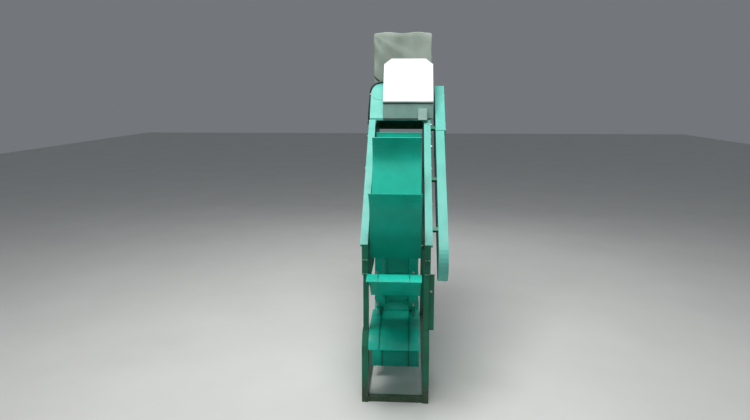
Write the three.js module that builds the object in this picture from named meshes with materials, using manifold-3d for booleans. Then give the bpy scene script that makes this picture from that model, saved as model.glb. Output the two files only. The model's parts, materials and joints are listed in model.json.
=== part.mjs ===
// Steel water wheel turbine: a wheel of ten curved blades in an inclined steel frame, with a hood,
// cabinet, covered generator and drive guard at the upper end.
// Millimetres, +Z up. The origin is on the ground, under the middle of the front cross beam.
// Places along Y are given from the front faces of the feet, and the whole is moved at the end.
import * as THREE from 'three';
import { mergeVertices } from 'three/addons/utils/BufferGeometryUtils.js';
import Module from 'manifold-3d';

const wasm = await Module();
wasm.setup();

const GAP = 0.3;
const degrees = THREE.MathUtils.degToRad;

// Inclined line of the two upper rails, in side view
const INCLINE = degrees(40.26);
const RAIL_END = { y: 130, z: 2282 };
const RAIL_WIDTH = 105;
const RAIL_DEPTH = 50;
const FRAME_HALF = 500;

// Wheel
const WHEEL = { y: 1379, z: 1939 };
const WHEEL_RADIUS = 1854;
const BLADE_COUNT = 10;
const BLADE_LEFT = -375;
const BLADE_RIGHT = 345;
const BLADE_SHEET = 8;
const LIP_SLOPE = degrees(24);
const LIP_ARC_RADIUS = 397;
const LIP_ARC_TURN = degrees(62.1);
const BLADE_STRAIGHT = 752;
const RING_OUTER = 985;
const RING_INNER = 915;
const RING_WIDTH = 100;
const RING_OFFSET = 244;
const SPOKE_COUNT = 5;
const HUB_RADIUS = 130;
const SHAFT_RADIUS = 45;
const SHAFT_REACH = 492;
const RUNNING_GAP = 0.5;

// Posts, feet and beams
const POST_IN = 385;
const POST_OUT = 458;
const POST_FLANGE_OUT = 535;
const POST_FRONT = 130;
const POST_DEPTH = 100;
const JOINT_TOP = 2062;
const JOINT_BOTTOM = 1850;
const SHOULDER_TOP = 1030;
const FOOT_TOP = 845;
const FOOT_OUT = 472;
const FOOT_BACK = 300;
const BEAM_IN = 396;
const BEAM_OUT = 466;
const BASE_HEIGHT = 100;
const FRONT_BEAM = { front: 20, back: 100, height: 80 };
const PLATE_THICK = 8;
const PLATE_FRONT = 245;
const PLATE_BOTTOM = 1600;
const REAR_FRONT = 3250;
const REAR_DEPTH = 100;
const HEAD_BOTTOM = 3843;
const HEAD_HEIGHT = 50;
const HEAD_FRONT = 2045;
const HEAD_BACK = 3830;

// Hood, cabinet, cover and guard
const HOOD_HALF = 492;
const HOOD_TOP = 4500;
const HOOD_BACK = 3850;
const HOOD_SHEET = 8;
const HOOD_ROUND = 250;
const HOOD_EDGE = 180;
const HOOD_FRONT = HEAD_FRONT + 5;
const HOOD_BOTTOM = HEAD_BOTTOM + HEAD_HEIGHT + GAP;
const HOOD_LEDGE = HOOD_BOTTOM + 40;
const SHOULDER_Y = 2660;
const SHOULDER_ANGLE = 138;
const CABINET_FRONT = 2038;
const CABINET_LEFT = -275;
const CABINET_RIGHT = 541;
const CABINET_BOTTOM = 3915;
const CABINET_FRONT_TOP = 4178;
const LID_SLOPE = degrees(53);
const LID_THICK = 36;
const LID_LENGTH = 880;
const COVER_LEFT = -478;
const COVER_RIGHT = 543;
const COVER_FRONT = 2640;
const COVER_BACK = 3480;
const COVER_BOTTOM = 4502;
const COVER_TOP = 5340;
const GUARD_IN = 579;
const GUARD_OUT = 712;
const GUARD_UPPER_OUT = 735;
const GUARD_FACE = 50;
const GUARD_RADIUS = 310;
const GUARD_END = 40;
const GUARD_TOP = -3300;
const GUARD_SPLIT = -2210;

// Colours of the finishes
const paint = { color: 0x19b894, roughness: 0.4, metalness: 0.1 };
const darkPaint = { color: 0x0d7a5f, roughness: 0.45, metalness: 0.1 };
const pale = { color: 0x86a89c, roughness: 0.5, metalness: 0.1 };
const white = { color: 0xf2f4f2, roughness: 0.35, metalness: 0 };
const steel = { color: 0x8f9696, roughness: 0.4, metalness: 0.8 };
const canvas = { color: 0x8f9f90, roughness: 0.9, metalness: 0 };
const black = { color: 0x15171a, roughness: 0.6, metalness: 0 };

const group = new THREE.Group();

// Side-view group: its X is the object's Y, its Y is the object's Z, its Z is the object's X
const side = new THREE.Group();
side.quaternion.setFromRotationMatrix(new THREE.Matrix4().makeBasis(
  new THREE.Vector3(0, 1, 0), new THREE.Vector3(0, 0, 1), new THREE.Vector3(1, 0, 0)));
group.add(side);

function addMesh(parent, name, geometry, look) {
  const mesh = new THREE.Mesh(geometry, new THREE.MeshStandardMaterial(look));
  mesh.name = name;
  parent.add(mesh);
  return mesh;
}

// An outline given as [x, y] points, pushed out by a depth
function extrude(points, depth) {
  const shape = new THREE.Shape(points.map(([x, y]) => new THREE.Vector2(x, y)));
  return new THREE.ExtrudeGeometry(shape, { depth, bevelEnabled: false });
}

function toSolid(geometry) {
  const bare = geometry.clone();
  bare.deleteAttribute('normal');
  bare.deleteAttribute('uv');
  const merged = mergeVertices(bare, 1e-3);
  return new wasm.Manifold(new wasm.Mesh({
    numProp: 3,
    vertProperties: new Float32Array(merged.attributes.position.array),
    triVerts: new Uint32Array(merged.index.array),
  }));
}

function toGeometry(solid) {
  const mesh = solid.getMesh();
  const geometry = new THREE.BufferGeometry();
  geometry.setAttribute('position', new THREE.BufferAttribute(new Float32Array(mesh.vertProperties), 3));
  geometry.setIndex(new THREE.BufferAttribute(new Uint32Array(mesh.triVerts), 1));
  geometry.computeVertexNormals();
  return geometry;
}

function joined(geometries) {
  return geometries.map(toSolid).reduce((whole, piece) => whole.add(piece));
}

// A geometry moved along the depth axis
function shifted(geometry, depth) {
  return geometry.clone().translate(0, 0, depth);
}

// Side-view point at a distance down the rail line and a height square to it
function onIncline(along, height) {
  return [
    RAIL_END.y - along * Math.cos(INCLINE) - height * Math.sin(INCLINE),
    RAIL_END.z - along * Math.sin(INCLINE) + height * Math.cos(INCLINE),
  ];
}

// Side-view point at a height square to the rail line, where it meets a given Y
function onInclineAt(y, height) {
  return onIncline(-(y - RAIL_END.y + height * Math.sin(INCLINE)) / Math.cos(INCLINE), height);
}

// A piece in side view, between two distances from the middle plane, made on both sides
function bothSides(name, points, inner, outer, look) {
  const geometry = extrude(points, outer - inner);
  addMesh(side, `${name}_left`, geometry, look).position.z = -outer;
  addMesh(side, `${name}_right`, geometry, look).position.z = inner;
}

function box(name, x0, x1, y0, y1, z0, z1, look) {
  const geometry = new THREE.BoxGeometry(x1 - x0, y1 - y0, z1 - z0);
  addMesh(group, name, geometry, look).position.set((x0 + x1) / 2, (y0 + y1) / 2, (z0 + z1) / 2);
}

function rectangle(x0, x1, y0, y1) {
  return [[x0, y0], [x1, y0], [x1, y1], [x0, y1]];
}

// Points of an arc about a centre, between two angles in degrees
function arc(cx, cy, radius, from, to, steps) {
  return Array.from({ length: steps + 1 }, (_, i) => {
    const angle = degrees(from + (to - from) * i / steps);
    return [cx + radius * Math.cos(angle), cy + radius * Math.sin(angle)];
  });
}

// A sheet of even thickness along a line of points that bends gently
function strip(line, thickness) {
  const offset = (sign) => line.map((point, i) => {
    const before = line[Math.max(i - 1, 0)];
    const after = line[Math.min(i + 1, line.length - 1)];
    const along = after.clone().sub(before).normalize();
    return [point.x - sign * along.y * thickness / 2, point.y + sign * along.x * thickness / 2];
  });
  return [...offset(1), ...offset(-1).reverse()];
}

// Inclined rails, from the knee at the front to the head rails
function makeRails() {
  bothSides('rail', [
    onInclineAt(HEAD_FRONT - GAP, -RAIL_DEPTH), onIncline(0, -RAIL_DEPTH),
    onIncline(0, 0), onInclineAt(HEAD_FRONT - GAP, 0),
  ], FRAME_HALF - RAIL_WIDTH, FRAME_HALF, paint);
}

// Knee piece under each rail end, with the bolted flanges that join it to the post
function makeJoints() {
  const back = POST_FRONT + POST_DEPTH;
  const lug = 14;
  const nose = 31;
  const kneeTop = (y) => onInclineAt(y, -RAIL_DEPTH - GAP);
  bothSides('post_joint', [
    [POST_FRONT - lug, JOINT_BOTTOM + GAP], [back + lug, JOINT_BOTTOM + GAP],
    [back + lug, JOINT_BOTTOM + lug], [back, JOINT_BOTTOM + lug],
    [back, JOINT_TOP - lug], [back + lug, JOINT_TOP - lug], [back + lug, JOINT_TOP], [back, JOINT_TOP],
    kneeTop(back), kneeTop(POST_FRONT + nose),
    [POST_FRONT, RAIL_END.z - 1], [POST_FRONT, JOINT_TOP],
    [POST_FRONT - lug, JOINT_TOP], [POST_FRONT - lug, JOINT_TOP - lug], [POST_FRONT + lug, JOINT_TOP - lug],
    [POST_FRONT + lug, JOINT_BOTTOM + lug], [POST_FRONT - lug, JOINT_BOTTOM + lug],
  ], POST_IN + 7, POST_OUT + 18, darkPaint);
}

function makePosts() {
  const back = POST_FRONT + POST_DEPTH;
  const flangeFront = POST_FRONT + 60;
  const plan = [
    [POST_IN, POST_FRONT], [POST_OUT, POST_FRONT], [POST_OUT, flangeFront],
    [POST_FLANGE_OUT, flangeFront], [POST_FLANGE_OUT, flangeFront + 10], [POST_OUT, flangeFront + 10],
    [POST_OUT, back], [POST_IN, back],
  ];
  const height = JOINT_BOTTOM - SHOULDER_TOP - GAP;
  addMesh(group, 'post_right', extrude(plan, height), darkPaint).position.z = SHOULDER_TOP + GAP;
  const plain = rectangle(-POST_OUT, -POST_IN, POST_FRONT, back);
  addMesh(group, 'post_left', extrude(plain, height), darkPaint).position.z = SHOULDER_TOP + GAP;
  bothSides('foot', [
    [0, 0], [FOOT_BACK, 0], [FOOT_BACK, SHOULDER_TOP], [POST_FRONT, SHOULDER_TOP], [0, FOOT_TOP],
  ], POST_IN, FOOT_OUT, darkPaint);
}

// Side plates under the rails, with a clearance hole for the shaft
function makeSidePlates() {
  const top = HEAD_BOTTOM - GAP;
  const rear = REAR_FRONT - GAP;
  const plate = toSolid(extrude([
    [PLATE_FRONT, PLATE_BOTTOM], [1650, PLATE_BOTTOM], [rear, 3195], [rear, top], [HEAD_FRONT + 5, top],
    onInclineAt(HEAD_FRONT - GAP, -RAIL_DEPTH - GAP), onInclineAt(PLATE_FRONT, -RAIL_DEPTH - GAP),
  ], PLATE_THICK));
  const hole = new THREE.CylinderGeometry(SHAFT_RADIUS + 15, SHAFT_RADIUS + 15, 60, 36)
    .rotateX(Math.PI / 2).translate(WHEEL.y, WHEEL.z, 0);
  const geometry = toGeometry(plate.subtract(toSolid(hole)));
  addMesh(side, 'side_plate_left', geometry, darkPaint).position.z = -BEAM_IN - PLATE_THICK;
  addMesh(side, 'side_plate_right', geometry, darkPaint).position.z = BEAM_IN;
}

// Beams along the ground on both sides, rear posts, head rails and cross beams
function makeBeams() {
  const rear = REAR_FRONT - GAP;
  bothSides('base_beam', rectangle(FOOT_BACK + GAP, rear, 0, BASE_HEIGHT), BEAM_IN, BEAM_OUT, darkPaint);
  bothSides('rear_post', rectangle(REAR_FRONT, REAR_FRONT + REAR_DEPTH, 0, HEAD_BOTTOM - GAP),
    BEAM_IN, BEAM_OUT + 10, darkPaint);
  bothSides('head_rail', rectangle(HEAD_FRONT, HEAD_BACK, HEAD_BOTTOM, HEAD_BOTTOM + HEAD_HEIGHT),
    POST_IN, FRAME_HALF, paint);
  const crossBeam = (name, half, [y0, y1], [z0, z1]) => box(name, -half, half, y0, y1, z0, z1, darkPaint);
  const rearSpan = BEAM_IN - GAP;
  const rearY = [REAR_FRONT + 10, REAR_FRONT + 90];
  crossBeam('front_cross_beam', POST_IN - GAP, [FRONT_BEAM.front, FRONT_BEAM.back], [0, FRONT_BEAM.height]);
  crossBeam('rear_cross_beam', rearSpan, rearY, [0, 100]);
  crossBeam('head_cross_beam', rearSpan, rearY, [3685, HEAD_BOTTOM - GAP]);
}

// Blade section about the wheel's centre, for the blade whose lip points to the front
function bladeLine() {
  const start = new THREE.Vector2(-WHEEL_RADIUS, 0);
  const points = [start];
  const steps = 12;
  for (let i = 1; i <= steps; i += 1) {
    const slope = LIP_SLOPE - LIP_ARC_TURN * i / steps;
    points.push(new THREE.Vector2(
      start.x + LIP_ARC_RADIUS * (Math.sin(LIP_SLOPE) - Math.sin(slope)),
      start.y + LIP_ARC_RADIUS * (Math.cos(slope) - Math.cos(LIP_SLOPE))));
  }
  const endSlope = LIP_SLOPE - LIP_ARC_TURN;
  const along = new THREE.Vector2(Math.cos(endSlope), Math.sin(endSlope));
  points.push(points[steps].clone().addScaledVector(along, BLADE_STRAIGHT));
  return points;
}

// A blade: the bent sheet, a stiffening bar along its inner edge, and two brackets down to the rings
function bladeGeometry() {
  const line = bladeLine();
  const width = BLADE_RIGHT - BLADE_LEFT;
  const end = line[line.length - 1];
  const along = end.clone().sub(line[line.length - 2]).normalize();
  const across = new THREE.Vector2(-along.y, along.x);
  const bracketTop = end.clone().addScaledVector(along, -330);
  const angleOf = (point) => THREE.MathUtils.radToDeg(Math.atan2(point.y, point.x));
  const seat = arc(0, 0, RING_OUTER + GAP, angleOf(end) + 360, angleOf(bracketTop) + 360, 6);
  const bracket = extrude([[bracketTop.x, bracketTop.y], [end.x, end.y], ...seat], 12);
  const bracketAt = (sign) => shifted(bracket, width / 2 + sign * RING_OFFSET - 6);
  const barHalf = 14;
  const corners = [[-2, 0], [0, 0], [0, 2], [-2, 2]].map(([a, b]) => {
    const corner = end.clone().addScaledVector(along, a * barHalf).addScaledVector(across, b * barHalf);
    return [corner.x, corner.y];
  });
  const bar = shifted(extrude(corners, 2 * (RING_OFFSET - RING_WIDTH / 2) - 20),
    width / 2 - RING_OFFSET + RING_WIDTH / 2 + 10);
  return toGeometry(joined([
    extrude(strip(line, BLADE_SHEET), width), bracketAt(-1), bracketAt(1), bar,
  ]));
}

// A ring with flat spokes and a hub, bored for the shaft
function ringGeometry() {
  const circle = (radius, depth, segments) => new THREE.CylinderGeometry(radius, radius, depth, segments)
    .rotateX(Math.PI / 2);
  const disc = toSolid(circle(RING_OUTER, RING_WIDTH, 60));
  let solid = disc.subtract(toSolid(circle(RING_INNER, RING_WIDTH + 4, 60)));
  for (let i = 0; i < SPOKE_COUNT; i += 1) {
    const spoke = extrude(rectangle(HUB_RADIUS - 30, RING_INNER + 20, -45, 45), 20).translate(0, 0, -10);
    solid = solid.add(toSolid(spoke.rotateZ(2 * Math.PI * i / SPOKE_COUNT)));
  }
  solid = solid.add(toSolid(circle(HUB_RADIUS, 90, 36)));
  return toGeometry(solid.subtract(toSolid(circle(SHAFT_RADIUS + 2 * GAP, 120, 36))));
}

function makeWheel() {
  const middle = (BLADE_LEFT + BLADE_RIGHT) / 2;
  const ring = ringGeometry();
  for (const [name, sign] of [['left', -1], ['right', 1]]) {
    addMesh(side, `ring_${name}`, ring, paint).position.set(WHEEL.y, WHEEL.z, middle + sign * RING_OFFSET);
  }
  const blade = bladeGeometry();
  for (let i = 0; i < BLADE_COUNT; i += 1) {
    const mesh = addMesh(side, `blade_${i + 1}`, blade, paint);
    mesh.position.set(WHEEL.y, WHEEL.z, BLADE_LEFT);
    mesh.rotation.z = 2 * Math.PI * i / BLADE_COUNT;
  }
  const shaft = new THREE.CylinderGeometry(SHAFT_RADIUS, SHAFT_RADIUS, 2 * SHAFT_REACH, 36);
  const mesh = addMesh(group, 'shaft', shaft, steel);
  mesh.rotation.z = Math.PI / 2;
  mesh.position.set(0, WHEEL.y, WHEEL.z);
}

// Flanged bearings on the outside of the side plates
function makeBearings() {
  const flange = 16;
  const length = 76;
  const bossRadius = 85;
  const inner = BEAM_IN + PLATE_THICK + GAP;
  const round = (radius, depth) => new THREE.CylinderGeometry(radius, radius, depth, 36)
    .rotateX(Math.PI / 2);
  const bearing = (sign) => {
    const plate = extrude(rectangle(-120, 120, -120, 120), flange).translate(0, 0, sign > 0 ? 0 : -flange);
    const boss = round(bossRadius, length - 4).translate(0, 0, sign * (length / 2 + 2));
    return toGeometry(joined([plate, boss]).subtract(toSolid(round(SHAFT_RADIUS + RUNNING_GAP, 300))));
  };
  addMesh(side, 'bearing_left', bearing(-1), steel).position.set(WHEEL.y, WHEEL.z, -inner);
  addMesh(side, 'bearing_right', bearing(1), steel).position.set(WHEEL.y, WHEEL.z, inner);
}

// Hood over the head, open below
function makeHood() {
  const centre = HOOD_TOP - HOOD_ROUND;
  const outline = (inset, floor) => [
    [HOOD_FRONT + inset, floor], [HOOD_BACK - inset, floor],
    ...arc(HOOD_BACK - HOOD_ROUND, centre, HOOD_ROUND - inset, 0, 90, 8),
    ...arc(SHOULDER_Y, centre, HOOD_ROUND - inset, 90, SHOULDER_ANGLE, 6),
    [HOOD_FRONT + inset, HOOD_LEDGE - inset / 2],
  ];
  const edge = HOOD_HALF - HOOD_EDGE;
  const across = (inset) => toSolid(extrude([
    [-HOOD_HALF + inset, HOOD_BOTTOM - 60], [HOOD_HALF - inset, HOOD_BOTTOM - 60],
    ...arc(edge, HOOD_TOP - HOOD_EDGE, HOOD_EDGE - inset, 0, 90, 8),
    ...arc(-edge, HOOD_TOP - HOOD_EDGE, HOOD_EDGE - inset, 90, 180, 8),
  ], HOOD_BACK).rotateY(Math.PI / 2).translate(0, 0, HOOD_HALF));
  const body = (inset, floor) => toSolid(extrude(outline(inset, floor), 2 * HOOD_HALF))
    .intersect(across(inset));
  const hood = body(0, HOOD_BOTTOM).subtract(body(HOOD_SHEET, HOOD_BOTTOM - 50));
  addMesh(side, 'hood', toGeometry(hood), paint).position.z = -HOOD_HALF;
}

// Cabinet on the front of the hood, with a sloping lid and a small junction box
function makeCabinet() {
  const shoulder = arc(SHOULDER_Y, HOOD_TOP - HOOD_ROUND, HOOD_ROUND, SHOULDER_ANGLE, 90, 1);
  const [shoulderY, shoulderZ] = shoulder[0];
  const frontFace = HOOD_FRONT - GAP;
  addMesh(side, 'cabinet', extrude([
    [CABINET_FRONT, CABINET_BOTTOM], [frontFace, CABINET_BOTTOM], [frontFace, HOOD_LEDGE + 2 * GAP],
    [shoulderY, shoulderZ + 2 * GAP],
    [shoulderY, CABINET_FRONT_TOP + (shoulderY - CABINET_FRONT) * Math.tan(LID_SLOPE)],
    [CABINET_FRONT, CABINET_FRONT_TOP],
  ], CABINET_RIGHT - CABINET_LEFT), pale).position.z = CABINET_LEFT;
  const chamfer = 120;
  const half = (CABINET_RIGHT - CABINET_LEFT) / 2;
  const lid = extrude([
    [-half, 0], [half, 0], [half, LID_LENGTH - chamfer], [half - chamfer, LID_LENGTH],
    [-half + chamfer, LID_LENGTH], [-half, LID_LENGTH - chamfer],
  ], LID_THICK);
  const mesh = addMesh(group, 'cabinet_lid', lid, white);
  mesh.rotation.x = LID_SLOPE;
  mesh.position.set((CABINET_LEFT + CABINET_RIGHT) / 2, CABINET_FRONT - GAP, CABINET_FRONT_TOP + GAP);
  box('junction_box', 297, 444, CABINET_FRONT - 78, CABINET_FRONT - GAP, 3902, 4085, pale);
}

// Generator housing on the hood, under a soft cover
function makeGenerator() {
  box('generator', COVER_LEFT + 35, COVER_RIGHT - 35, COVER_FRONT + 40, COVER_BACK - 40,
    HOOD_TOP + GAP, COVER_TOP - 20, pale);
  const round = 70;
  const outer = extrude([
    [COVER_FRONT, COVER_BOTTOM], [COVER_BACK, COVER_BOTTOM],
    ...arc(COVER_BACK - round, COVER_TOP - round, round, 0, 90, 4),
    ...arc(COVER_FRONT + round, COVER_TOP - round, round, 90, 180, 4),
  ], COVER_RIGHT - COVER_LEFT);
  const hollow = extrude(rectangle(COVER_FRONT + 35, COVER_BACK - 35, COVER_BOTTOM - 20,
    COVER_TOP - 19), COVER_RIGHT - COVER_LEFT - 60);
  const cover = toSolid(outer).subtract(toSolid(shifted(hollow, 30)));
  addMesh(side, 'cover', toGeometry(cover), canvas).position.z = COVER_LEFT;
}

// Drive guard beside the right rail, in two sections, on brackets
function makeGuard() {
  const centre = GUARD_FACE - GUARD_RADIUS;
  const backFace = GUARD_FACE - 2 * GUARD_RADIUS;
  const width = GUARD_OUT - GUARD_IN;
  const round = arc(0, 0, GUARD_RADIUS, -90, 90, 16)
    .map(([x, y]) => onIncline(GUARD_END + x, centre + y));
  const lower = extrude([
    ...round, onIncline(GUARD_SPLIT + GAP, GUARD_FACE), onIncline(GUARD_SPLIT + GAP, backFace),
  ], width);
  addMesh(side, 'guard_lower', lower, paint).position.z = GUARD_IN;
  const band = 24;
  const proud = 8;
  const block = (from, to, edge, depth) => extrude([
    onIncline(from, GUARD_FACE + edge), onIncline(to, GUARD_FACE + edge),
    onIncline(to, backFace - edge), onIncline(from, backFace - edge),
  ], depth);
  const upperWidth = GUARD_UPPER_OUT - GUARD_IN;
  const sleeve = shifted(block(GUARD_SPLIT - band, GUARD_SPLIT, proud, upperWidth + 2 * proud), -proud);
  const upper = joined([block(GUARD_TOP, GUARD_SPLIT, 0, upperWidth), sleeve]);
  addMesh(side, 'guard_upper', toGeometry(upper), paint).position.z = GUARD_IN;
  const low = -RAIL_DEPTH;
  const high = -4;
  for (const [i, along] of [-260, -1200, -2300].entries()) {
    const bracket = extrude([
      onIncline(along - 60, low), onIncline(along, low),
      onIncline(along, high), onIncline(along - 60, high),
    ], GUARD_IN - FRAME_HALF - 2 * GAP);
    addMesh(side, `guard_bracket_${i + 1}`, bracket, darkPaint).position.z = FRAME_HALF + GAP;
  }
}

// Lead from under the cover, over the hood's left shoulder, down to a gland on the left head rail
function makeLead() {
  const radius = 16;
  const bend = HOOD_EDGE + radius + 4;
  const outside = -HOOD_HALF - radius - 4;
  const onHood = HOOD_TOP + radius + 3;
  const end = { x: outside - 8, y: 2262, z: HEAD_BOTTOM + 20 };
  const overEdge = [0, 25, 50, 75].map((angle, i) => new THREE.Vector3(
    HOOD_EDGE - HOOD_HALF - bend * Math.sin(degrees(angle)), 2572 - 14 * i,
    HOOD_TOP - HOOD_EDGE + bend * Math.cos(degrees(angle))));
  const route = new THREE.CatmullRomCurve3([
    new THREE.Vector3(-130, COVER_FRONT - 2 * GAP, onHood),
    new THREE.Vector3(-130, COVER_FRONT - 18, onHood),
    new THREE.Vector3(-138, COVER_FRONT - 38, onHood),
    new THREE.Vector3(-180, COVER_FRONT - 60, onHood),
    new THREE.Vector3(-245, COVER_FRONT - 66, onHood + 1),
    ...overEdge,
    new THREE.Vector3(outside, 2490, HOOD_TOP - 240),
    new THREE.Vector3(outside - 4, 2400, HOOD_TOP - 350),
    new THREE.Vector3(end.x, 2290, end.z + 180),
    new THREE.Vector3(end.x, end.y, end.z + 90),
    new THREE.Vector3(end.x, end.y, end.z + 45),
    new THREE.Vector3(end.x, end.y, end.z),
  ]);
  const circle = new THREE.Shape().absarc(0, 0, radius, 0, 2 * Math.PI, false);
  const tube = new THREE.ExtrudeGeometry(circle, { steps: 50, extrudePath: route, curveSegments: 5 });
  addMesh(group, 'generator_lead', tube, black);
  box('lead_gland', -540, -FRAME_HALF - GAP, 2240, 2284, HEAD_BOTTOM - 30, HEAD_BOTTOM + 19.7, black);
}

makeRails();
makeJoints();
makePosts();
makeSidePlates();
makeBeams();
makeWheel();
makeBearings();
makeHood();
makeCabinet();
makeGenerator();
makeGuard();
makeLead();
group.position.y = -(FRONT_BEAM.front + FRONT_BEAM.back) / 2;

export default group;
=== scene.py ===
"""Steel water wheel turbine: fittings, cloth cover, materials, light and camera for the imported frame."""
import json
import math

import bmesh
import bpy
from mathutils import Matrix, Vector, noise
from mathutils.bvhtree import BVHTree


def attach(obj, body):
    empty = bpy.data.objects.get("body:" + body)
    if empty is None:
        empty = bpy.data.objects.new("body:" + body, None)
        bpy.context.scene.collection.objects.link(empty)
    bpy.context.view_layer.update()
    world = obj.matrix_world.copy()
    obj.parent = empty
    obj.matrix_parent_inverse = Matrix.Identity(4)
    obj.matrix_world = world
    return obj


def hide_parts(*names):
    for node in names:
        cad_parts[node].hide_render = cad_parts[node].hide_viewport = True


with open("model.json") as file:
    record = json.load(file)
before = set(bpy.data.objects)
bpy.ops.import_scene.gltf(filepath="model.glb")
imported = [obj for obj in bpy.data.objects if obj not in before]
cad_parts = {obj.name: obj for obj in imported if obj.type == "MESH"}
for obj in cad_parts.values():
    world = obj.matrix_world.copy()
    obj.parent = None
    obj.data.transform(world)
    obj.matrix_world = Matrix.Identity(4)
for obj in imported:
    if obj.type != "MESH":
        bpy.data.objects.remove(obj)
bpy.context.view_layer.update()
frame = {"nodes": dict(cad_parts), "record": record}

# Sizes in metres. Places along Y are from the front faces of the feet, and each piece is then moved
# to the frame, whose origin lies under the middle of the front cross beam.
TO_FRAME = Vector((0, -0.060, 0))

# Frame
INCLINE = math.radians(40.26)
RAIL_END = (0.130, 2.282)
RAIL_OUTER = 0.500
RAIL_MIDDLE = -0.025
RAIL_BOLTS_ALONG = (-0.10, -0.75, -1.45, -2.15)
RAIL_TOP_BOLTS_X = 0.453
RAIL_TOP_BOLTS_ALONG = (-2.27, -2.40)
DRIVE_BOLTS_ALONG = (-1.92, -2.42)
HEAD_RAIL_BOLTS_Y = (2.09, 2.17)
HEAD_RAIL_BOLTS_Z = (3.857, 3.879)
JOINT_LUGS_X = (0.412, 0.456)
JOINT_LUG_Y = 0.123
JOINT_LUG_TOPS = (1.864, 2.062)
BEARING_FACE = 0.4203
BEARING_BOLT_OFFSETS = (-0.095, 0.095)
FOOT_OUTER = 0.472
FOOT_BOLT_Y = 0.15
FOOT_BOLTS_Z = (0.25, 0.62)
POST_BOLT_PLACE = (0.49, 0.190, 1.603)
GUARD_LOWER_OUT = 0.712
GUARD_UPPER_OUT = 0.735
GUARD_SPLIT = -2.21
GUARD_BOLTS_ALONG = (-0.1, -0.8, -1.5, -2.1, -2.4, -3.1)
GUARD_BOLT_ROWS = (0.015, -0.535)

# Wheel
WHEEL = (1.379, 1.939)
WHEEL_RADIUS = 1.854
BLADE_LEFT = -0.375
BLADE_RIGHT = 0.345
BLADE_COUNT = 10
BLADE_SHEET = 0.008
LIP_SLOPE = math.radians(24)
LIP_ARC_RADIUS = 0.397
LIP_ARC_TURN = math.radians(62.1)
LIP_BEAD_RADIUS = 0.0065
LIP_BEAD_SHIFT = (0.006, 0.003)
BLADE_STRAIGHT = 0.752
RING_RADIUS = 0.985
RIBS_X = (-0.225, 0.185)
RIB_HALF = 0.005
RIB_HEIGHT = 0.022
RIB_SUNK = 0.0005
WHEEL_BOLTS_X = (-0.286, 0.241)
BLADE_BOLTS_BACK = (0.04, 0.085, 0.13)
RIM_BOLT_ANGLES = [math.radians(degrees) for degrees in (17.9, 20.5, 23.1)]

# Bolt sizes, from the middle of the head to a corner
SMALL_BOLT = 0.007
GUARD_BOLT = 0.008
RAIL_BOLT = 0.011
FRAME_BOLT = 0.012
BLADE_BOLT = 0.013
RIM_BOLT = 0.016
DRIVE_BOLT = 0.018

# A bolt's washer, and the radius and height of each layer of its head, as parts of its size
WASHER_RADIUS = 1.45
WASHER_HEIGHT = 0.18
HEAD_LAYERS = ((1.0, WASHER_HEIGHT), (1.0, 0.8), (0.86, 0.95))

# Hood, cabinet and lead
HOOD_SIDE = 0.4915
HOOD_FLANGE = 0.010
HOOD_FRONT = 2.046
HOOD_BACK = 3.85
HOOD_FLANGE_Z = (3.8935, 3.9035)
HOOD_UP_SLOPE = Vector((0, 0.658, 0.753))
HOOD_OUT_OF_SLOPE = Vector((0, -0.753, 0.658))
SEAM_START = Vector((-0.278, 2.30, 4.2186))
SEAM_SPAN = 0.200
SEAM_RISE = 0.100
SEAM_WIDTH = 0.014
SEAM_SUNK = 0.002
SEAM_PROUD = 0.004
CABINET_X = (-0.272, 0.538)
# Dark lid seam, and a painted shadow line along the cabinet's lower edge
SEAM_AND_SHADOW_Y = (2.0355, 2.0385)
SEAM_AND_SHADOW_LINES_Z = ((4.158, 4.170), (3.9152, 3.928))
JUNCTION_LID_X = (0.300, 0.441)
JUNCTION_LID_Y = (1.954, 1.9605)
JUNCTION_LID_Z = (3.906, 4.081)
LEAD_CLIP_PLACE = Vector((-0.5095, 2.512, 4.320))
LEAD_DIRECTION = Vector((-0.007, -0.040, -0.112)).normalized()
LEAD_CLIP_RADIUS = 0.0195
LEAD_CLIP_LENGTH = 0.016

# Cloth cover
COVER_LOW = (-0.466, 2.654, 4.506)
COVER_HIGH = (0.531, 3.466, 5.333)
COVER_CELLS = (40, 32, 32)
COVER_CORNER = 0.042
COVER_CLEAR_OF_HOOD = 4.504
COVER_THICKNESS = 0.003
FOLD_DEPTH = 0.022
FOLDS_PER_TURN = 12
FOLD_FADE = 1.5
UNEVEN_DEPTH = 0.012
UNEVEN_SCALE = 4.0
MOST_OUTWARD = 0.024
MOST_INWARD = 0.017
MOST_INWARD_ON_TOP = 0.006
WAVE_HEIGHT = 0.022
WAVE_FADE = 0.1
SETTLE_FRAMES = 22
SETTLE_LIMIT = 0.018
SETTLE_GAP = 0.004
STRAP_LEFT = -0.454
STRAP_LENGTH = 0.090
STRAP_LOW = 4.545
STRAP_RISE = 0.070
STRAP_CURVE = 1.6
STRAP_HALF = 0.012
STRAP_THICKNESS = 0.006
STRAP_CLEAR_OF_CLOTH = 0.001

# Camera fitted to the photo
CAMERA_PLACE = Vector((0.1752, -7.8717, 4.3138))
CAMERA_DOWN = math.radians(10.92)
CAMERA_LEFT = math.radians(3.35)
CAMERA_LENS = 28.8


def rgb(red, green, blue):
    """Scene colour from 0-255 screen values."""
    def linear(value):
        value /= 255
        return value / 12.92 if value <= 0.04045 else ((value + 0.055) / 1.055) ** 2.4
    return (linear(red), linear(green), linear(blue), 1)


def grey(value):
    return (value, value, value, 1)


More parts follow.
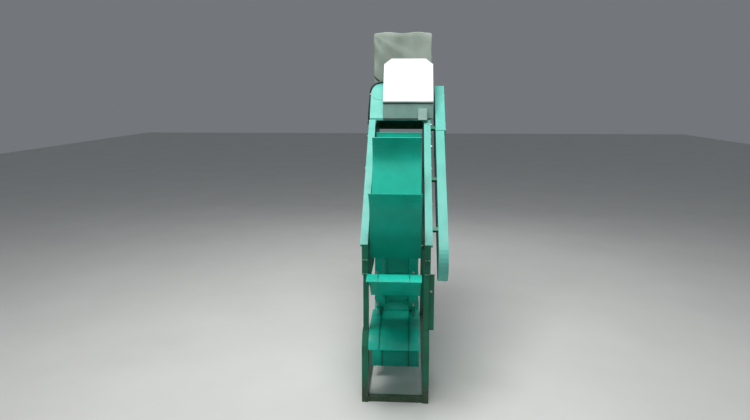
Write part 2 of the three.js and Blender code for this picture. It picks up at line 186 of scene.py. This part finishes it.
class Nodes:
    """Small helper round a material's node tree."""

    def __init__(self, name):
        self.material = bpy.data.materials.new(name)
        self.material.use_nodes = True
        self.tree = self.material.node_tree
        self.shader = self.tree.nodes["Principled BSDF"]
        self.place = self.add("ShaderNodeTexCoord").outputs["Object"]

    def add(self, kind, **inputs):
        node = self.tree.nodes.new(kind)
        for key, value in inputs.items():
            node.inputs[key].default_value = value
        return node

    def link(self, source, target):
        self.tree.links.new(source, target)

    def set(self, **values):
        """Gives inputs of the shader fixed values, with an underscore for each blank in a name."""
        for key, value in values.items():
            self.shader.inputs[key.replace("_", " ")].default_value = value

    def noise(self, scale, detail=4.0, stretch=(1, 1, 1)):
        mapping = self.add("ShaderNodeMapping", Scale=stretch)
        texture = self.add("ShaderNodeTexNoise", Scale=scale, Detail=detail, Roughness=0.6)
        self.link(self.place, mapping.inputs["Vector"])
        self.link(mapping.outputs["Vector"], texture.inputs["Vector"])
        return texture.outputs["Fac"]

    def ramp(self, factor, stops):
        node = self.add("ShaderNodeValToRGB")
        for element, (position, colour) in zip(node.color_ramp.elements, stops):
            element.position = position
            element.color = colour
        self.link(factor, node.inputs["Fac"])
        return node.outputs["Color"]

    def mix(self, factor, first, second):
        node = self.add("ShaderNodeMix")
        node.data_type = "RGBA"
        self.link(factor, node.inputs["Factor"])
        self.link(first, node.inputs["A"])
        self.link(second, node.inputs["B"])
        return node.outputs["Result"]

    def bump(self, height, distance, strength):
        """Adds relief on top of any relief that the shader has already."""
        node = self.add("ShaderNodeBump", Distance=distance, Strength=strength)
        self.link(height, node.inputs["Height"])
        normal = self.shader.inputs["Normal"]
        if normal.is_linked:
            self.link(normal.links[0].from_socket, node.inputs["Normal"])
        self.link(node.outputs["Normal"], normal)


def silted(look, base):
    """The base colour, covered by silt towards the ground, with a wavering upper edge."""
    parts = look.add("ShaderNodeSeparateXYZ")
    look.link(look.place, parts.inputs["Vector"])
    height = look.add("ShaderNodeMath")
    height.operation = "ADD"
    look.link(parts.outputs["Z"], height.inputs[0])
    wobble = look.ramp(look.noise(9), [(0.3, grey(0)), (0.8, grey(0.12))])
    look.link(wobble, height.inputs[1])
    cover_share = look.ramp(height.outputs["Value"], [(0.22, grey(0.75)), (0.44, grey(0))])
    silt = look.ramp(look.noise(30), [(0.4, rgb(58, 62, 46)), (0.7, rgb(92, 92, 70))])
    return look.mix(cover_share, base, silt)


def painted(name, colour, shade, roughness, coat, wet=False):
    """Sprayed paint: soft colour drift, fine orange peel, faint vertical runs and, if wet, a dirty foot."""
    look = Nodes(name)
    base = look.ramp(look.noise(2.3), [(0.3, shade), (0.65, colour)])
    streaks = look.noise(14, detail=5, stretch=(1, 1, 0.12))
    streak_share = look.ramp(streaks, [(0.62, grey(0)), (0.8, grey(0.35))])
    stain = look.add("ShaderNodeRGB").outputs["Color"]
    stain.default_value = tuple(channel * 0.8 for channel in shade[:3]) + (1,)
    mixed = look.mix(streak_share, base, stain)
    if wet:
        mixed = silted(look, mixed)
    look.link(mixed, look.shader.inputs["Base Color"])
    rough = look.ramp(look.noise(6), [(0.3, grey(roughness - 0.06)), (0.7, grey(roughness + 0.12))])
    look.link(rough, look.shader.inputs["Roughness"])
    look.set(Specular_IOR_Level=0.35, Coat_Weight=coat, Coat_Roughness=0.15)
    look.bump(look.noise(220, detail=2), 0.0006, 0.35)
    return look.material


def bare_steel(name, colour):
    look = Nodes(name)
    base = look.ramp(look.noise(35), [(0.35, rgb(96, 92, 84)), (0.6, colour)])
    look.link(base, look.shader.inputs["Base Color"])
    look.set(Metallic=0.4)
    rough = look.ramp(look.noise(60), [(0.3, grey(0.25)), (0.7, grey(0.5))])
    look.link(rough, look.shader.inputs["Roughness"])
    look.bump(look.noise(300, detail=2), 0.0004, 0.4)
    return look.material


def woven(name, colour, shade):
    """Cloth with soft creases and a fine weave."""
    look = Nodes(name)
    base = look.ramp(look.noise(2.2, detail=1.5), [(0.3, shade), (0.7, colour)])
    look.link(base, look.shader.inputs["Base Color"])
    look.set(Roughness=0.8, Sheen_Weight=0.15)
    look.bump(look.noise(3.2, detail=0.6, stretch=(1.4, 1.4, 0.6)), 0.10, 0.6)
    threads = look.add("ShaderNodeTexChecker", Scale=420.0)
    look.link(look.place, threads.inputs["Vector"])
    look.bump(threads.outputs["Fac"], 0.0008, 0.5)
    return look.material


def plastic(name, colour, shade):
    look = Nodes(name)
    base = look.ramp(look.noise(12), [(0.35, shade), (0.65, colour)])
    look.link(base, look.shader.inputs["Base Color"])
    look.set(Roughness=0.5)
    look.bump(look.noise(350, detail=2), 0.0004, 0.5)
    return look.material


looks = {
    "teal_paint": painted("teal_paint", rgb(2, 190, 166), rgb(2, 168, 142), 0.5, 0.05),
    # Paler copy of the teal for the rails, head rail, hood, guard and hood flange: painted sheen of the sky
    # on their faces
    "painted_sheen_teal": painted("painted_sheen_teal", rgb(98, 186, 172), rgb(86, 175, 160), 0.5, 0.05),
    # Darker copy of the teal: painted shade on the lower frame pieces and the blade ribs; the silt towards
    # the foot is dirt
    "dark_teal_paint": painted("dark_teal_paint", rgb(10, 116, 86), rgb(8, 98, 72), 0.45, 0.1, wet=True),
    # Grey-green is painted shade: the cabinet front is a shaded copy of its white lid, the box being cream
    # all over
    "grey_green_paint": painted("grey_green_paint", rgb(140, 172, 161), rgb(124, 156, 146), 0.4, 0.2),
    "white_paint": painted("white_paint", rgb(208, 212, 210), rgb(200, 205, 203), 0.45, 0.1),
    "bearing_steel": bare_steel("bearing_steel", rgb(150, 154, 152)),
    "cover_cloth": woven("cover_cloth", rgb(146, 158, 147), rgb(124, 136, 125)),
    "pale_box": painted("pale_box", rgb(178, 206, 194), rgb(164, 194, 182), 0.4, 0.2),
    "black_plastic": plastic("black_plastic", rgb(30, 32, 35), rgb(18, 19, 22)),
}
bolt_steel = bare_steel("bolt_steel", rgb(226, 230, 228))
# Dark rubber of the strap, also used for the lid seam and for the painted shadow line under the cabinet
rubber_and_shadow_look = plastic("dark_rubber_and_painted_shadow", rgb(34, 42, 40), rgb(22, 28, 27))

# Looks and soft edges of the carried nodes
slot_of = {part["node"]: part["material_slot"] for part in frame["record"]["subparts"]}
# Pieces that get the paler teal with painted sky sheen
PAINTED_SHEEN_PIECES = ("rail_", "head_rail", "hood", "guard_lower", "guard_upper")
COMMON_BEVEL = 0.0015
BEVELS = {"cabinet_lid": 0.010, "cabinet": 0.005, "junction_box": 0.006, "guard_lower": 0.010,
          "guard_upper": 0.006, "generator": 0.01}


def look_of(node_name):
    """The look of a carried node: that of its slot, but a paler teal with painted sky sheen on the rails,
    head rail, hood and guard, and a paler paint on the junction box.
    """
    if node_name == "junction_box":
        return looks["pale_box"]
    if node_name.startswith(PAINTED_SHEEN_PIECES):
        return looks["painted_sheen_teal"]
    return looks[slot_of[node_name]]


for node_name, node in frame["nodes"].items():
    node.data.materials.clear()
    node.data.materials.append(look_of(node_name))
    bevel = node.modifiers.new("soft_edges", "BEVEL")
    bevel.width = BEVELS.get(node_name, COMMON_BEVEL)
    bevel.segments = 2
    bevel.limit_method = "ANGLE"
    bevel.angle_limit = math.radians(35)


def new_piece(name, mesh_maker, look, body):
    """An object made by a function that fills a bmesh, given a look and a body to ride on."""
    shape = bmesh.new()
    mesh_maker(shape)
    bmesh.ops.recalc_face_normals(shape, faces=shape.faces)
    mesh = bpy.data.meshes.new(name)
    shape.to_mesh(mesh)
    shape.free()
    mesh.transform(Matrix.Translation(TO_FRAME))
    mesh.materials.append(look)
    piece = bpy.data.objects.new(name, mesh)
    bpy.context.scene.collection.objects.link(piece)
    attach(piece, body)


def loft(shape, rows):
    """A closed solid through rows that each hold the same number of points."""
    loops = [[shape.verts.new(point) for point in row] for row in rows]
    shape.faces.new(loops[0][::-1])
    shape.faces.new(loops[-1])
    count = len(rows[0])
    for lower, upper in zip(loops, loops[1:]):
        for i in range(count):
            j = (i + 1) % count
            shape.faces.new((lower[i], lower[j], upper[j], upper[i]))


def prism(shape, outline, lift):
    """A closed prism from an outline of points, lifted along a vector."""
    loft(shape, [outline, [Vector(point) + lift for point in outline]])


def block(shape, x, y, z):
    """A block between two places on each axis."""
    outline = [(x[0], y[0], z[0]), (x[1], y[0], z[0]), (x[1], y[1], z[0]), (x[0], y[1], z[0])]
    prism(shape, outline, Vector((0, 0, z[1] - z[0])))


def circle(centre, axis, radius, steps):
    """Points round a centre, square to an axis."""
    turn = axis.to_track_quat("Z", "Y").to_matrix()
    angles = [2 * math.pi * i / steps for i in range(steps)]
    return [centre + turn @ Vector((radius * math.cos(angle), radius * math.sin(angle), 0))
            for angle in angles]


def bolt(shape, place, axis, size):
    """A washer and a chamfered hexagon head, standing on a surface."""
    place = Vector(place)
    axis = Vector(axis).normalized()
    prism(shape, circle(place, axis, WASHER_RADIUS * size, 20), axis * WASHER_HEIGHT * size)
    loft(shape, [circle(place + axis * height * size, axis, radius * size, 6)
                 for radius, height in HEAD_LAYERS])


def on_incline(along, height):
    """(y, z) at a distance down the rail line and a height square to it."""
    return (RAIL_END[0] - along * math.cos(INCLINE) - height * math.sin(INCLINE),
            RAIL_END[1] - along * math.sin(INCLINE) + height * math.cos(INCLINE))


def side_bolts(shape, side):
    """Bolts of one side: along the rail, on the head rail, post joint and bearing, and on the foot."""
    outward = (side, 0, 0)
    for along in RAIL_BOLTS_ALONG:
        y, z = on_incline(along, RAIL_MIDDLE)
        bolt(shape, (side * RAIL_OUTER, y, z), outward, RAIL_BOLT)
    for y in HEAD_RAIL_BOLTS_Y:
        for z in HEAD_RAIL_BOLTS_Z:
            bolt(shape, (side * RAIL_OUTER, y, z), outward, SMALL_BOLT)
    for x in JOINT_LUGS_X:
        for z in JOINT_LUG_TOPS:
            bolt(shape, (side * x, JOINT_LUG_Y, z), (0, 0, 1), SMALL_BOLT)
    for y in BEARING_BOLT_OFFSETS:
        for z in BEARING_BOLT_OFFSETS:
            bolt(shape, (side * BEARING_FACE, WHEEL[0] + y, WHEEL[1] + z), outward, FRAME_BOLT)
    for z in FOOT_BOLTS_Z:
        bolt(shape, (side * FOOT_OUTER, FOOT_BOLT_Y, z), outward, FRAME_BOLT)


def right_only_bolts(shape):
    """Bolts that show on the right alone: large ones beside the guard, two on the rail, one on the post."""
    for along in DRIVE_BOLTS_ALONG:
        y, z = on_incline(along, RAIL_MIDDLE)
        bolt(shape, (RAIL_OUTER, y, z), (1, 0, 0), DRIVE_BOLT)
    on_top = (0, -math.sin(INCLINE), math.cos(INCLINE))
    for along in RAIL_TOP_BOLTS_ALONG:
        y, z = on_incline(along, 0)
        bolt(shape, (RAIL_TOP_BOLTS_X, y, z), on_top, RAIL_BOLT)
    bolt(shape, POST_BOLT_PLACE, (0, -1, 0), FRAME_BOLT)


def frame_bolts(shape):
    """The bolts of both sides, and those that show on the right alone."""
    side_bolts(shape, -1)
    side_bolts(shape, 1)
    right_only_bolts(shape)


def guard_bolts(shape):
    """Bolts in two rows along the outer face of the drive guard."""
    for along in GUARD_BOLTS_ALONG:
        face = GUARD_LOWER_OUT if along > GUARD_SPLIT else GUARD_UPPER_OUT
        for height in GUARD_BOLT_ROWS:
            y, z = on_incline(along, height)
            bolt(shape, (face, y, z), (1, 0, 0), GUARD_BOLT)


new_piece("frame_bolts", frame_bolts, bolt_steel, "frame")
new_piece("guard_bolts", guard_bolts, bolt_steel, "frame")


def blade_path():
    """Middle line of the blade section from lip to inner end, with the slope at each point."""
    path = []
    arc_steps = 16
    for i in range(arc_steps + 1):
        slope = LIP_SLOPE - LIP_ARC_TURN * i / arc_steps
        path.append((-WHEEL_RADIUS + LIP_ARC_RADIUS * (math.sin(LIP_SLOPE) - math.sin(slope)),
                     LIP_ARC_RADIUS * (math.cos(slope) - math.cos(LIP_SLOPE)), slope))
    a, b, slope = path[-1]
    straight_steps = 8
    for i in range(1, straight_steps + 1):
        reach = BLADE_STRAIGHT * i / straight_steps
        path.append((a + reach * math.cos(slope), b + reach * math.sin(slope), slope))
    return path


def on_wheel(x, a, b, index):
    """Point of the wheel from side-view offsets, turned to the place of one blade."""
    angle = 2 * math.pi * index / BLADE_COUNT
    return Vector((x, WHEEL[0] + a * math.cos(angle) - b * math.sin(angle),
                   WHEEL[1] + a * math.sin(angle) + b * math.cos(angle)))


def blade_ribs(shape):
    """Narrow upright ribs along the upper side of each blade, lower near its lip."""
    path = blade_path()[:-2]
    base = BLADE_SHEET / 2 - RIB_SUNK
    for index in range(BLADE_COUNT):
        for x in RIBS_X:
            left = x - RIB_HALF
            right = x + RIB_HALF
            rows = []
            for i, (a, b, slope) in enumerate(path):
                top = base + RIB_HEIGHT * min(1, (i + 0.3) / 3)
                corners = [(left, base), (right, base), (right, top), (left, top)]
                rows.append([on_wheel(across, a - rise * math.sin(slope), b + rise * math.cos(slope), index)
                             for across, rise in corners])
            loft(shape, rows)


def blade_lips(shape):
    """Round bead along the lip of each blade."""
    a, b, _ = blade_path()[0]
    a += LIP_BEAD_SHIFT[0]
    b += LIP_BEAD_SHIFT[1]
    sides = 12
    for index in range(BLADE_COUNT):
        outline = []
        for i in range(sides):
            turn = 2 * math.pi * i / sides
            outline.append(on_wheel(BLADE_LEFT, a + LIP_BEAD_RADIUS * math.cos(turn),
                                    b + LIP_BEAD_RADIUS * math.sin(turn), index))
        prism(shape, outline, Vector((BLADE_RIGHT - BLADE_LEFT, 0, 0)))


def wheel_bolts(shape):
    """Three bolts beside each rib on a blade's upper side, and three on each rim between the blades."""
    a, b, slope = blade_path()[-1]
    end_angle = math.atan2(b, a)
    rise = BLADE_SHEET / 2
    rim = RING_RADIUS - 0.001
    for index in range(BLADE_COUNT):
        turn = 2 * math.pi * index / BLADE_COUNT
        upward = (0, -math.sin(turn + slope), math.cos(turn + slope))
        for x in WHEEL_BOLTS_X:
            for back in BLADE_BOLTS_BACK:
                place = on_wheel(x, a - back * math.cos(slope) - rise * math.sin(slope),
                                 b - back * math.sin(slope) + rise * math.cos(slope), index)
                bolt(shape, place, upward, BLADE_BOLT)
            for above in RIM_BOLT_ANGLES:
                angle = end_angle - above
                outward = (0, math.cos(turn + angle), math.sin(turn + angle))
                place = on_wheel(x, rim * math.cos(angle), rim * math.sin(angle), index)
                bolt(shape, place, outward, RIM_BOLT)


# The ribs take the darker teal as painted shade, standing for the shadowed seams along the blades
new_piece("blade_ribs", blade_ribs, looks["dark_teal_paint"], "wheel")
new_piece("blade_lips", blade_lips, looks["teal_paint"], "wheel")
new_piece("wheel_bolts", wheel_bolts, bolt_steel, "wheel")


def lead_clip(shape):
    """Steel band round the lead where it passes the hood's rounded edge."""
    outline = circle(LEAD_CLIP_PLACE, LEAD_DIRECTION, LEAD_CLIP_RADIUS, 24)
    prism(shape, outline, LEAD_DIRECTION * LEAD_CLIP_LENGTH)


def hood_seam(shape):
    """Arched weld on the left of the hood's front slope."""
    steps = 12
    root = HOOD_OUT_OF_SLOPE * -SEAM_SUNK
    crest = HOOD_OUT_OF_SLOPE * SEAM_PROUD
    rows = []
    for i in range(steps + 1):
        turn = math.pi / 2 * i / steps
        lower = SEAM_START + HOOD_UP_SLOPE * SEAM_RISE * (1 - math.cos(turn))
        lower.x -= SEAM_SPAN * math.sin(turn)
        upper = lower + HOOD_UP_SLOPE * SEAM_WIDTH
        rows.append([lower + root, upper + root, upper + crest, lower + crest])
    loft(shape, rows)


def hood_trim(shape):
    """Turned-out flange along the hood's lower edges, and the seam on its front."""
    for side in (-1, 1):
        flange = (side * HOOD_SIDE, side * (HOOD_SIDE + HOOD_FLANGE))
        block(shape, flange, (HOOD_FRONT, HOOD_BACK), HOOD_FLANGE_Z)
    hood_seam(shape)


def lid_seam_and_shadow_line(shape):
    """Dark seam under the lid, and a dark strip along the cabinet's lower edge that is painted shadow under
    that edge.
    """
    for z in SEAM_AND_SHADOW_LINES_Z:
        block(shape, CABINET_X, SEAM_AND_SHADOW_Y, z)


def junction_lid(shape):
    """Proud lid on the front of the junction box."""
    block(shape, JUNCTION_LID_X, JUNCTION_LID_Y, JUNCTION_LID_Z)


new_piece("lead_clip", lead_clip, bolt_steel, "frame")
new_piece("hood_trim", hood_trim, looks["painted_sheen_teal"], "frame")
new_piece("lid_seam_and_shadow_line", lid_seam_and_shadow_line, rubber_and_shadow_look, "frame")
new_piece("junction_lid", junction_lid, looks["pale_box"], "frame")


def cover_place(point):
    """How far a point of the cover lies from its left side and below its top, as parts of its size."""
    from_left = (point.x - COVER_LOW[0]) / (COVER_HIGH[0] - COVER_LOW[0])
    down = (COVER_HIGH[2] - point.z) / (COVER_HIGH[2] - COVER_LOW[2])
    return from_left, down


def cover_grid(shape):
    """The five sides of an open-bottomed box, as a grid of cells."""
    places = {}

    def vertex(*key):
        if key not in places:
            places[key] = shape.verts.new([
                low + (high - low) * step / cells
                for low, high, step, cells in zip(COVER_LOW, COVER_HIGH, key, COVER_CELLS)])
        return places[key]

    def patch(corners):
        shape.faces.new([vertex(*corner) for corner in corners])

    nx, ny, nz = COVER_CELLS
    for i in range(nx):
        for j in range(ny):
            patch([(i, j, nz), (i + 1, j, nz), (i + 1, j + 1, nz), (i, j + 1, nz)])
    for k in range(nz):
        for i in range(nx):
            for j in (0, ny):
                patch([(i, j, k), (i + 1, j, k), (i + 1, j, k + 1), (i, j, k + 1)])
        for j in range(ny):
            for i in (0, nx):
                patch([(i, j, k), (i, j + 1, k), (i, j + 1, k + 1), (i, j, k + 1)])


def round_corners(shape):
    """Draws in the cover's upright and upper edges to a radius."""
    low = Vector(COVER_LOW) + Vector((COVER_CORNER, COVER_CORNER, 0))
    high = Vector(COVER_HIGH) - Vector((COVER_CORNER, COVER_CORNER, COVER_CORNER))
    for vert in shape.verts:
        inner = Vector([min(max(vert.co[axis], low[axis]), high[axis]) for axis in range(3)])
        away = vert.co - inner
        if away.length > COVER_CORNER:
            vert.co = inner + away.normalized() * COVER_CORNER


def fold(shape):
    """Folds that fan out from the cover's upper left corner, and uneven cloth all over."""
    bmesh.ops.recalc_face_normals(shape, faces=shape.faces)
    shape.normal_update()
    for vert in shape.verts:
        from_left, down = cover_place(vert.co)
        turn = math.atan2(down + 0.02, from_left + 0.05)
        fan = math.sin(FOLDS_PER_TURN * turn) * math.exp(-FOLD_FADE * from_left)
        uneven = noise.noise(vert.co * UNEVEN_SCALE)
        amount = FOLD_DEPTH * fan * min(1, 3 * down) + UNEVEN_DEPTH * uneven * min(1, 4 * down + 0.2)
        most_inward = MOST_INWARD if down > 0.02 else MOST_INWARD_ON_TOP
        vert.co += vert.normal * max(-most_inward, min(MOST_OUTWARD, amount))


def cover_mesh():
    """The cloth before it settles, moved to the frame."""
    shape = bmesh.new()
    cover_grid(shape)
    round_corners(shape)
    fold(shape)
    mesh = bpy.data.meshes.new("generator_cover")
    shape.to_mesh(mesh)
    shape.free()
    mesh.transform(Matrix.Translation(TO_FRAME))
    return mesh


def settled_places(piece, support):
    """Where a cloth simulation puts the points of a piece that lies on its support."""
    collision = support.modifiers.new("support", "COLLISION")
    support.collision.thickness_outer = SETTLE_GAP
    cloth = piece.modifiers.new("settle", "CLOTH")
    cloth.settings.quality = 6
    cloth.settings.mass = 0.4
    cloth.settings.tension_stiffness = 30
    cloth.settings.bending_stiffness = 0.3
    cloth.settings.shrink_min = -0.015
    cloth.collision_settings.distance_min = SETTLE_GAP
    cloth.point_cache.frame_end = SETTLE_FRAMES
    scene = bpy.context.scene
    for number in range(1, SETTLE_FRAMES + 1):
        scene.frame_set(number)
    settled = piece.evaluated_get(bpy.context.evaluated_depsgraph_get()).data
    places = [vert.co.copy() for vert in settled.vertices]
    piece.modifiers.remove(cloth)
    support.modifiers.remove(collision)
    scene.frame_set(1)
    return places


def drape(piece, support):
    """Lets the cloth settle on its support, moving no point further than a limit, and applies the result."""
    for vert, place in zip(piece.data.vertices, settled_places(piece, support)):
        move = place - vert.co
        if move.length > SETTLE_LIMIT:
            move *= SETTLE_LIMIT / move.length
        vert.co += move
        vert.co.z = max(vert.co.z, COVER_CLEAR_OF_HOOD)


def wave_top(mesh):
    """Two low ridges across the cover's top."""
    for vert in mesh.vertices:
        from_left, down = cover_place(vert.co)
        vert.co.z += WAVE_HEIGHT * math.sin(2 * math.pi * from_left) ** 2 * max(0, 1 - down / WAVE_FADE)


cover = bpy.data.objects.new("generator_cover", cover_mesh())
bpy.context.scene.collection.objects.link(cover)
drape(cover, frame["nodes"]["generator"])
wave_top(cover.data)
cover.data.materials.append(looks["cover_cloth"])
for face in cover.data.polygons:
    face.use_smooth = True
thickness = cover.modifiers.new("thickness", "SOLIDIFY")
thickness.thickness = COVER_THICKNESS
thickness.offset = 0
smooth = cover.modifiers.new("smooth", "SUBSURF")
smooth.levels = 1
smooth.render_levels = 1
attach(cover, "frame")
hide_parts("cover")


def cover_strap(shape):
    """Short dark strap that lies on the lower left of the cover's front."""
    surface = BVHTree.FromPolygons([vert.co for vert in cover.data.vertices],
                                   [list(face.vertices) for face in cover.data.polygons])
    steps = 8
    front_of_cloth = COVER_LOW[1] - 0.25
    proud = Vector((0, -STRAP_THICKNESS, 0))
    rows = []
    for i in range(steps + 1):
        reach = i / steps
        x = STRAP_LEFT + STRAP_LENGTH * reach
        z = STRAP_LOW + STRAP_RISE * (1 - reach) ** STRAP_CURVE
        on_cloth = []
        for height in (-STRAP_HALF, STRAP_HALF):
            hit = surface.ray_cast(Vector((x, front_of_cloth, z + height)), Vector((0, 1, 0)))[0]
            on_cloth.append(hit - TO_FRAME + Vector((0, -STRAP_CLEAR_OF_CLOTH, 0)))
        rows.append([on_cloth[0], on_cloth[1], on_cloth[1] + proud, on_cloth[0] + proud])
    loft(shape, rows)


new_piece("cover_strap", cover_strap, rubber_and_shadow_look, "frame")

# Floor, light and camera
floor_mesh = bpy.data.meshes.new("floor")
floor_mesh.from_pydata([(-30, -20, 0), (30, -20, 0), (30, 60, 0), (-30, 60, 0)], [], [(0, 1, 2, 3)])
floor = bpy.data.objects.new("floor", floor_mesh)
floor_look = Nodes("pale_floor")
floor_tone = floor_look.ramp(floor_look.noise(0.6), [(0.3, rgb(214, 214, 210)), (0.7, rgb(220, 220, 216))])
floor_look.link(floor_tone, floor_look.shader.inputs["Base Color"])
floor_look.set(Roughness=0.9)
floor_mesh.materials.append(floor_look.material)
bpy.context.scene.collection.objects.link(floor)

world = bpy.data.worlds.new("studio")
world.use_nodes = True
background = world.node_tree.nodes["Background"]
background.inputs["Color"].default_value = (0.86, 0.92, 1.0, 1)
background.inputs["Strength"].default_value = 0.20
bpy.context.scene.world = world
bpy.context.scene.view_settings.view_transform = "Standard"


def lamp(name, place, target, size, power):
    """A square area lamp that shines towards a target."""
    data = bpy.data.lights.new(name, "AREA")
    data.size = size
    data.energy = power
    light = bpy.data.objects.new(name, data)
    light.location = place
    light.rotation_euler = (Vector(target) - Vector(place)).to_track_quat("-Z", "Y").to_euler()
    bpy.context.scene.collection.objects.link(light)


lamp("overhead", (-1.0, -1.2, 11.0), target=(0, 1.0, 2.5), size=5.5, power=1020)
lamp("front_fill", (2.0, -9.0, 7.5), target=(0, 1.5, 2.5), size=5.0, power=75)
lamp("rear_fill", (0.5, 10.0, 8.0), target=(0, 2.0, 3.0), size=5.0, power=150)

camera_data = bpy.data.cameras.new("camera")
camera_data.sensor_width = 36
camera_data.lens = CAMERA_LENS
camera = bpy.data.objects.new("camera", camera_data)
camera.location = CAMERA_PLACE + TO_FRAME
camera.rotation_euler = (math.pi / 2 - CAMERA_DOWN, 0, CAMERA_LEFT)
bpy.context.scene.collection.objects.link(camera)
bpy.context.scene.camera = camera
